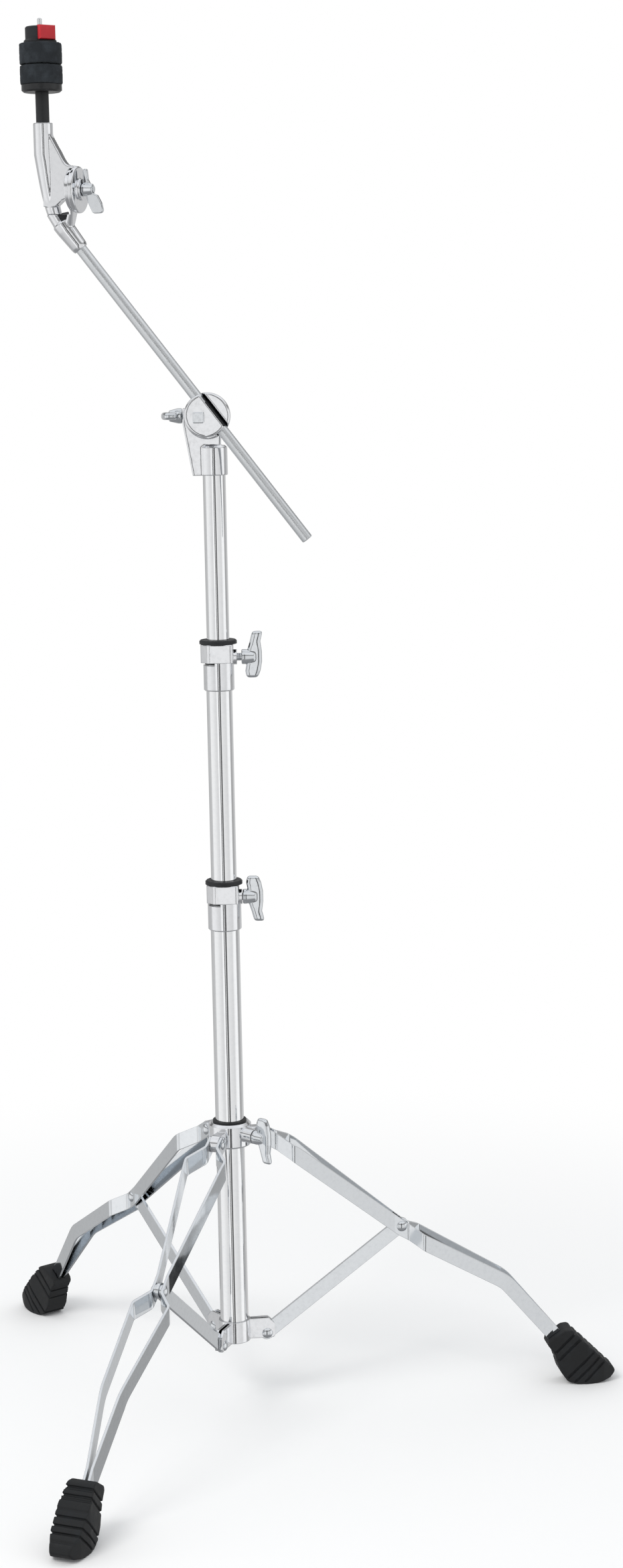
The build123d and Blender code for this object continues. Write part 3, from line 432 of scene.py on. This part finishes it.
def make_floor():
    """A pale floor that keeps the shadow close to the feet and goes to white further out."""
    shadow_radius, white_radius = 0.45, 1.25
    bpy.ops.object.select_all(action="DESELECT")
    bpy.ops.mesh.primitive_plane_add(size=12.0, location=(0, 0, 0))
    floor = bpy.context.active_object
    floor.name = "floor"
    material = bpy.data.materials.new("pale floor")
    tree = fresh_tree(material)
    distance = vector_node(tree, "LENGTH", on_the_stand(tree))
    path = add(tree, "ShaderNodeLightPath").outputs
    looked_at = math_node(tree, "MAXIMUM", path["Is Camera Ray"], path["Is Glossy Ray"])
    looked_at = math_node(tree, "MAXIMUM", looked_at, path["Is Transmission Ray"])
    whiteness = math_node(tree, "MULTIPLY", span(tree, distance, shadow_radius, white_radius), looked_at)
    matt = add(tree, "ShaderNodeBsdfDiffuse")
    matt.inputs["Color"].default_value = (0.99, 0.99, 0.99, 1.0)
    glow = add(tree, "ShaderNodeEmission")
    glow.inputs["Color"].default_value = (1, 1, 1, 1)
    out = add(tree, "ShaderNodeOutputMaterial")
    feed(tree, out.inputs["Surface"], mix_shader(tree, whiteness, matt.outputs[0], glow.outputs[0]))
    floor.data.materials.append(material)
    floor.visible_glossy = False


def make_lamp():
    """One soft box, high on the left in front of the stand. It makes no highlight of its own."""
    place = Vector((-1.5, -1.9, 2.9))
    aimed_at = Vector((0, 0, 0.6))
    lamp = bpy.data.lights.new("soft box", "AREA")
    lamp.shape = "RECTANGLE"
    lamp.size = 1.6
    lamp.size_y = 1.2
    lamp.energy = 41.0
    lamp.color = (1.0, 0.985, 0.96)
    holder = bpy.data.objects.new("soft box", lamp)
    bpy.context.scene.collection.objects.link(holder)
    turn = (aimed_at - place).to_track_quat("-Z", "Y").to_matrix().to_4x4()
    holder.matrix_world = Matrix.Translation(place) @ turn
    holder.visible_glossy = False


# ---------------------------------------------------------------- bench tools
def clear_bench():
    """Leaves edit mode and deselects everything."""
    if bpy.context.object and bpy.context.object.mode != "OBJECT":
        bpy.ops.object.mode_set(mode="OBJECT")
    bpy.ops.object.select_all(action="DESELECT")


def take(*pieces):
    """Selects these pieces, the last one active."""
    clear_bench()
    for piece in pieces:
        piece.select_set(True)
    bpy.context.view_layer.objects.active = pieces[-1]


@contextmanager
def editing(piece):
    """Opens a piece in edit mode for the lines inside, then closes it."""
    take(piece)
    bpy.ops.object.mode_set(mode="EDIT")
    yield
    bpy.ops.object.mode_set(mode="OBJECT")


def pick(piece, kind, wanted):
    """In edit mode, selects only the edges or faces that wanted(element) accepts."""
    bpy.ops.mesh.select_all(action="DESELECT")
    bpy.ops.mesh.select_mode(type=kind)
    mesh = bmesh.from_edit_mesh(piece.data)
    for element in mesh.edges if kind == "EDGE" else mesh.faces:
        element.select_set(bool(wanted(element)))
    mesh.select_flush_mode()
    bmesh.update_edit_mesh(piece.data)


def is_sharp(edge, angle=0.9):
    """Whether an edge joins two faces that meet at more than an angle, in radians."""
    return edge.calc_face_angle(0) > angle


def round_over(piece, wanted, width, segments):
    """In edit mode, rounds the edges that wanted(edge) accepts."""
    pick(piece, "EDGE", wanted)
    bpy.ops.mesh.bevel(offset=width, segments=segments, affect="EDGES")


def draw_out(piece, wanted, move, shares):
    """In edit mode, extrudes the faces that wanted(face) accepts and resizes their new end."""
    pick(piece, "FACE", wanted)
    bpy.ops.mesh.extrude_region_move(TRANSFORM_OT_translate={"value": move})
    bpy.ops.transform.resize(value=shares)


def turn_faces_out():
    """In edit mode, points all faces of a closed piece outwards."""
    bpy.ops.mesh.select_all(action="SELECT")
    bpy.ops.mesh.normals_make_consistent(inside=False)


def add_round(name, radius, length, sides=64):
    """A cylinder along Z, centred on the origin."""
    clear_bench()
    bpy.ops.mesh.primitive_cylinder_add(vertices=sides, radius=radius, depth=length, end_fill_type="NGON")
    piece = bpy.context.active_object
    piece.name = name
    return piece


def add_block(name, size):
    """A block centred on the origin."""
    clear_bench()
    bpy.ops.mesh.primitive_cube_add(size=1.0)
    piece = bpy.context.active_object
    piece.name = name
    piece.scale = size
    bpy.ops.object.transform_apply(location=False, rotation=False, scale=True)
    return piece


def add_modifier(piece, kind, **settings):
    """Adds a modifier with its settings and applies it."""
    take(piece)
    modifier = piece.modifiers.new(kind.lower(), kind)
    for key, value in settings.items():
        setattr(modifier, key, value)
    bpy.ops.object.modifier_apply(modifier=modifier.name)


def join(name, *pieces):
    """Makes one piece of several."""
    take(*pieces)
    bpy.ops.object.join()
    piece = bpy.context.active_object
    piece.name = name
    return piece


def set_down(piece, matrix):
    """Puts a piece modelled at the origin in its place, with the place in its mesh."""
    take(piece)
    piece.matrix_world = matrix
    bpy.context.view_layer.update()
    bpy.ops.object.transform_apply(location=True, rotation=True, scale=True)


def twin(piece, name):
    """A copy with its own mesh."""
    copy = bpy.data.objects.new(name, piece.data.copy())
    bpy.context.scene.collection.objects.link(copy)
    return copy


def soften(piece, rounds, **settings):
    """Smooths a piece's skin, all over or in one vertex group."""
    add_modifier(piece, "SMOOTH", factor=0.5, iterations=rounds, **settings)
    take(piece)
    bpy.ops.object.shade_smooth()


def cast(piece, grain, rounds):
    """Fuses a piece's lumps into one skin and softens it, as a casting comes from its mould."""
    add_modifier(piece, "REMESH", mode="VOXEL", voxel_size=grain)
    soften(piece, rounds)


def worked_copy(node, name):
    """A copy of a CAD node with its loose triangles welded."""
    piece = twin(nodes[node], name)
    take(piece)
    bpy.ops.mesh.customdata_custom_splitnormals_clear()
    with editing(piece):
        bpy.ops.mesh.select_all(action="SELECT")
        bpy.ops.mesh.remove_doubles(threshold=2e-6)
    return piece


def fit(piece, node, slot_name):
    """The piece rides where its CAD node rides and stands for it."""
    piece.data.materials.clear()
    piece.data.materials.append(finishes[FINISH_OF_SLOT[slot_name]])
    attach(piece, nodes[node]["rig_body"])
    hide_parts(node)


def frame_of(origin, along, up):
    """A matrix that puts +X along one direction and +Z as near as it goes to another."""
    along = along.normalized()
    side = up.cross(along).normalized()
    turn = Matrix((along, side, along.cross(side))).transposed().to_4x4()
    return Matrix.Translation(origin) @ turn


# ---------------------------------------------------------------- cast pieces
def soften_neck():
    """The swan neck of the cymbal tilter. A gusset fills the notch where its web runs into its arm."""
    hinge, axis = joint_line("cymbal_tilt")
    slope = radians(61.56)
    gusset = add_block("gusset", (28.0 * MM, 10.8 * MM, 8.0 * MM))
    middle = hinge + axis * 11.4 * MM + UP * 37.0 * MM
    down_slope = axis * cos(slope) - UP * sin(slope)
    off_slope = axis * sin(slope) + UP * cos(slope)
    set_down(gusset, frame_of(middle, down_slope, off_slope))
    neck = join("tilter_neck_casting", gusset, worked_copy("tilter_neck", "neck"))
    cast(neck, 0.45 * MM, 12)
    web_bottom, web_top, web_edge = hinge.z + 16.0 * MM, hinge.z + 58.0 * MM, hinge.x + 3.8 * MM
    web = neck.vertex_groups.new(name="web")
    web.add([vertex.index for vertex in neck.data.vertices
             if web_bottom < vertex.co.z < web_top and vertex.co.x > web_edge], 1.0, "REPLACE")
    soften(neck, 40, vertex_group="web")
    neck.vertex_groups.clear()
    fit(neck, "tilter_neck", "chrome_cast")


def soften_castings():
    """The other castings as their solids are, with soft edges and filled corners."""
    for node, grain, rounds, slot_name in (
            ("tilter_socket", 0.45, 10, "chrome_cast"), ("boom_holder", 0.45, 14, "chrome_cast"),
            ("tilt_disc", 0.45, 5, "chrome_cast"), ("tilter_wing_nut", 0.35, 6, "chrome_small")):
        piece = worked_copy(node, node + "_casting")
        cast(piece, grain * MM, rounds)
        fit(piece, node, slot_name)


def shape_jaw():
    """The round jaw that hooks over the boom rod: a turned disc, cut along the rod and hollowed for it."""
    radius, rim = 20.8 * MM, 2.0 * MM
    past_rod, rod_room, groove_length = 3.4 * MM, 6.95 * MM, 80.0 * MM
    low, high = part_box("tilt_jaw")
    tilt_axis = joint_line("boom_tilt")[0]
    centre = Vector((tilt_axis.x - 1.1 * MM, (low.y + high.y) / 2, tilt_axis.z + 0.7 * MM))
    front_face = low.y + 0.1 * MM
    jaw = add_round("tilt_jaw_hook", radius, high.y - low.y, sides=128)
    set_down(jaw, Matrix.Translation(centre) @ Matrix.Rotation(pi / 2, 4, "X"))
    with editing(jaw):
        round_over(jaw, lambda edge: is_sharp(edge) and edge.verts[0].co.y < front_face, rim, 5)
        bpy.ops.mesh.select_all(action="SELECT")
        bpy.ops.mesh.bisect(plane_co=boom_crossing + boom_side * past_rod, plane_no=boom_side,
                            use_fill=True, clear_outer=True)
    groove = add_round("groove", rod_room, groove_length)
    lean = boom_up.to_track_quat("Z", "Y").to_matrix().to_4x4()
    set_down(groove, Matrix.Translation(boom_crossing) @ lean)
    add_modifier(jaw, "BOOLEAN", operation="DIFFERENCE", object=groove, solver="EXACT")
    bpy.data.objects.remove(groove)
    cast(jaw, 0.45 * MM, 3)
    fit(jaw, "tilt_jaw", "chrome_cast")


# ---------------------------------------------------------------- rubber feet
def mould_feet():
    """One rubber boot, rounded and ringed with grooves, then copied to each leg."""
    azimuths = {}
    for way in ("right", "rear", "front"):
        sole = Vector(mounts[way + "_sole"]["pos_m"])
        azimuths[way] = atan2(sole.y, sole.x)
    boot = worked_copy("front_foot", "rubber_boot")
    set_down(boot, Matrix.Rotation(-azimuths["front"], 4, "Z"))
    cast(boot, 0.8 * MM, 10)
    ankle, along = Vector((0.350, 0, 0.0585)), Vector((1, 0, -1)).normalized()
    plain_edge, groove_depth = 3.0 * MM, 2.0 * MM
    grooves = [(4.4 * MM, 1.5 * MM), (12.6 * MM, 1.7 * MM), (32.8 * MM, 1.6 * MM), (41.2 * MM, 1.6 * MM),
               (48.4 * MM, 1.6 * MM)]    # distance from the ankle, and width

    def down_the_boot(face):
        return (face.calc_center_median() - ankle).dot(along)

    with editing(boot):
        for place, width in grooves:
            for wall in (place - width / 2, place + width / 2):
                bpy.ops.mesh.select_all(action="SELECT")
                bpy.ops.mesh.bisect(plane_co=ankle + along * wall, plane_no=along)
        for place, width in grooves:
            pick(boot, "FACE", lambda face: abs(down_the_boot(face) - place) < width / 2
                 and face.calc_center_median().z > plain_edge)
            bpy.ops.transform.shrink_fatten(value=-groove_depth)
    cast(boot, 0.5 * MM, 3)
    for way, azimuth in azimuths.items():
        piece = twin(boot, way + "_foot_rubber")
        set_down(piece, Matrix.Rotation(azimuth, 4, "Z"))
        fit(piece, way + "_foot", "black_rubber")
    bpy.data.objects.remove(boot)


# ---------------------------------------------------------------- felts
def press_felt(node, name):
    """A pressed felt washer: a ring with soft rims and a lumpy, fibrous side."""
    low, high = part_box(node)
    radius, height = (high.x - low.x) / 2, high.z - low.z
    hole_radius, room_for_lumps, rim = 6.6 * MM, 0.1 * MM, 1.6 * MM
    piece = add_round(name, radius - room_for_lumps, height - room_for_lumps, sides=128)

    def is_hole_lid(face):
        centred = face.calc_center_median().length < height
        return abs(face.normal.z) > 0.9 and centred and len(face.verts) > 8

    def is_outer_rim(edge):
        outside = edge.verts[0].co.xy.length > radius * 0.8
        return outside and edge.calc_length() < height * 0.9 and is_sharp(edge, 0.6)

    with editing(piece):
        for sign in (1, -1):
            pick(piece, "FACE", lambda face: face.normal.z * sign > 0.9)
            bpy.ops.mesh.inset(thickness=radius - hole_radius, use_relative_offset=False)
        pick(piece, "FACE", is_hole_lid)
        bpy.ops.mesh.bridge_edge_loops()
        round_over(piece, is_outer_rim, rim, 4)
    cast(piece, 0.7 * MM, 2)
    lumps = bpy.data.textures.new(name + " lumps", "CLOUDS")
    lumps.noise_scale = 3.5 * MM
    lumps.noise_depth = 2
    add_modifier(piece, "DISPLACE", texture=lumps, texture_coords="LOCAL", strength=0.6 * MM, mid_level=0.8)
    set_down(piece, Matrix.Translation((low + high) / 2))
    fit(piece, node, "black_felt")


# ---------------------------------------------------------------- hand bolts
def sculpt_wing():
    """The S-shaped wing of a T bolt that points along +X: a block, drawn out twice to each side."""
    block_size, from_shank = (15.0 * MM, 7.4 * MM, 10.0 * MM), 12.6 * MM
    wing = add_block("wing", block_size)
    set_down(wing, Matrix.Translation((from_shank, 0, 0)))
    # each step's side, its shift along the bolt, its reach across it, and its end's depth and thickness
    steps = [(1, -1.7 * MM, 9.0 * MM, 1.0, 0.95), (1, -0.8 * MM, 6.8 * MM, 0.74, 0.86),
             (-1, 0.9 * MM, 10.0 * MM, 0.70, 0.95), (-1, 2.6 * MM, 10.2 * MM, 1.0, 0.86)]
    with editing(wing):
        for side, shift, reach, depth, thickness in steps:
            mesh = bmesh.from_edit_mesh(wing.data)
            tip = max(mesh.faces, key=lambda face: side * face.calc_center_median().z)
            tip_centre = tip.calc_center_median().copy()
            draw_out(wing, lambda face: (face.calc_center_median() - tip_centre).length < 1e-6,
                     (shift, 0, side * reach), (depth, thickness, 1.0))
        turn_faces_out()
    add_modifier(wing, "BEVEL", width=2.9 * MM, segments=4, limit_method="ANGLE", angle_limit=radians(40))
    return wing


def turn_stem():
    """The tapered stem that joins a T bolt's shank to its wing."""
    radius, flange, taper_length, taper, rim = 7.4 * MM, 3.6 * MM, 9.0 * MM, 0.72, 0.6 * MM
    stem = add_round("stem", radius, flange)
    with editing(stem):
        draw_out(stem, lambda face: face.normal.z > 0.9, (0, 0, taper_length), (taper, taper, 1.0))
        round_over(stem, is_sharp, rim, 3)
    set_down(stem, Matrix.Rotation(pi / 2, 4, "Y") @ Matrix.Translation((0, 0, flange / 2)))
    return stem


def cut_thread(name, length):
    """A threaded shank along -X from the origin: a core with a coiled ridge."""
    core_radius, ridge_radius, ridge_size = 3.58 * MM, 3.48 * MM, 0.55 * MM
    pitch, rim = 1.25 * MM, 0.3 * MM
    core = add_round(name, core_radius, length, sides=48)
    with editing(core):
        round_over(core, is_sharp, rim, 2)
    clear_bench()
    bpy.ops.mesh.primitive_circle_add(vertices=3, radius=ridge_size, fill_type="NOTHING")
    ridge = bpy.context.active_object
    start = Matrix.Translation((ridge_radius, 0, pitch - length / 2))
    set_down(ridge, start @ Matrix.Rotation(pi / 2, 4, "X") @ Matrix.Rotation(-pi / 2, 4, "Z"))
    turns = max(int(length / pitch) - 1, 1)
    add_modifier(ridge, "SCREW", axis="Z", screw_offset=pitch, iterations=turns, steps=40, render_steps=40,
                 use_merge_vertices=False)
    with editing(ridge):
        turn_faces_out()
    shank = join(name, ridge, core)
    bpy.ops.object.shade_smooth_by_angle(angle=radians(30))
    set_down(shank, Matrix.Rotation(pi / 2, 4, "Y") @ Matrix.Translation((0, 0, -length / 2)))
    return shank


def fit_t_bolts():
    """The wing and stem are made once. Each bolt gets a copy, and a threaded shank of its own length."""
    head = join("t_bolt_head", turn_stem(), sculpt_wing())
    cast(head, 0.4 * MM, 16)
    # where the stem starts along the bolt's axis, the shank's length, and how far the wing is turned
    for node, joint, stem_start, shank_length, turned in (
            ("lower_joint_t_bolt", "lower_bolt_turn", 0.6 * MM, 3.0 * MM, 0),
            ("upper_joint_t_bolt", "upper_bolt_turn", 4.6 * MM, 8.6 * MM, pi),
            ("leg_collar_t_bolt", "collar_bolt_turn", 1.1 * MM, 17.7 * MM, 0),
            ("boom_t_bolt", "boom_bolt_turn", -3.4 * MM, 15.8 * MM, -pi / 2)):
        centre, axis = joint_line(joint)
        bolt = join(node + "_cast", cut_thread(node + "_shank", shank_length), twin(head, node + "_head"))
        set_down(bolt, frame_of(centre + axis * stem_start, axis, UP) @ Matrix.Rotation(turned, 4, "X"))
        fit(bolt, node, "chrome_small")
    bpy.data.objects.remove(head)


# ---------------------------------------------------------------- the stand
place_camera()
make_world()
make_floor()
make_lamp()

finishes = make_finishes()
finish_solids()
soften_neck()
soften_castings()
shape_jaw()
mould_feet()
press_felt("lower_felt", "lower_felt_pressed")
press_felt("upper_felt", "upper_felt_pressed")
fit_t_bolts()
clear_bench()

bpy.context.scene.view_settings.view_transform = "Standard"
